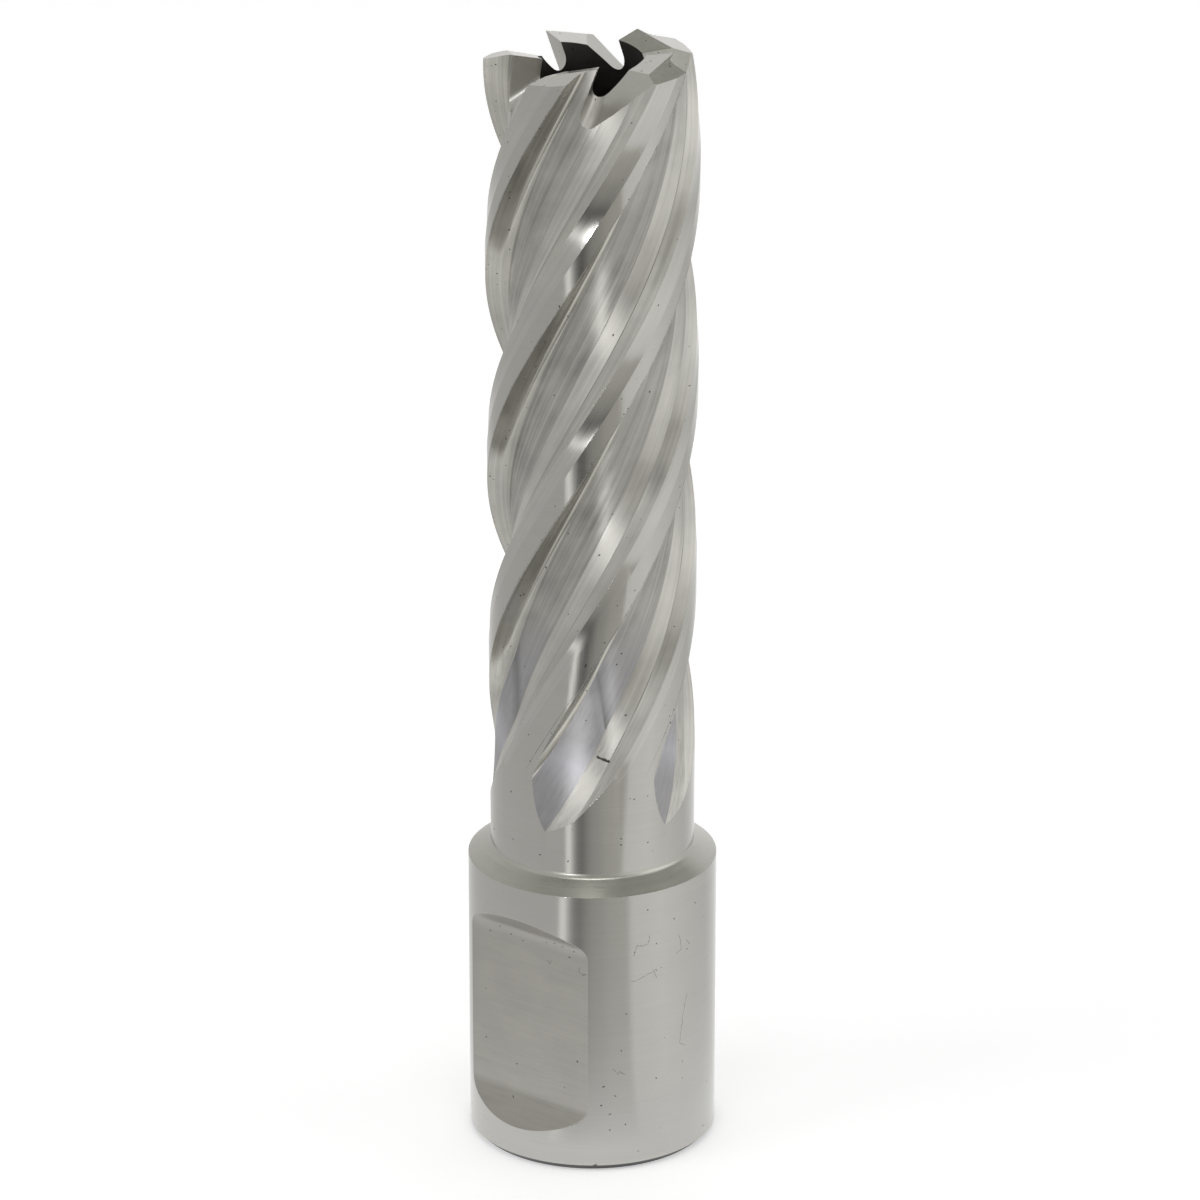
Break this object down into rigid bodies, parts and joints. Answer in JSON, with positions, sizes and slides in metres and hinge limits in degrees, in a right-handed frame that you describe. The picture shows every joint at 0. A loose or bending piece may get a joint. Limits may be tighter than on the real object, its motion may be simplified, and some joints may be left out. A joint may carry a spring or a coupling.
{
  "type": "annular cutter",
  "caption": "Hollow fluted hole cutter with hooked end teeth, right-hand helical flutes and a round shank with two drive flats.",
  "frame": {"origin": "centre of the shank's end face", "axes": "+Z along the tool axis from the shank end to the teeth; the front, with one drive flat in view at its left, faces -Y; +X is to the right seen from the front"},
  "size_m": [0.019, 0.019, 0.0864],
  "materials": {
    "ground_steel": "ground bright, with grinding lines in the flutes and milling lines on the drive flats"
  },
  "bodies": {
    "root": {"annular_cutter": "ground_steel"}
  },
  "joints": []
}
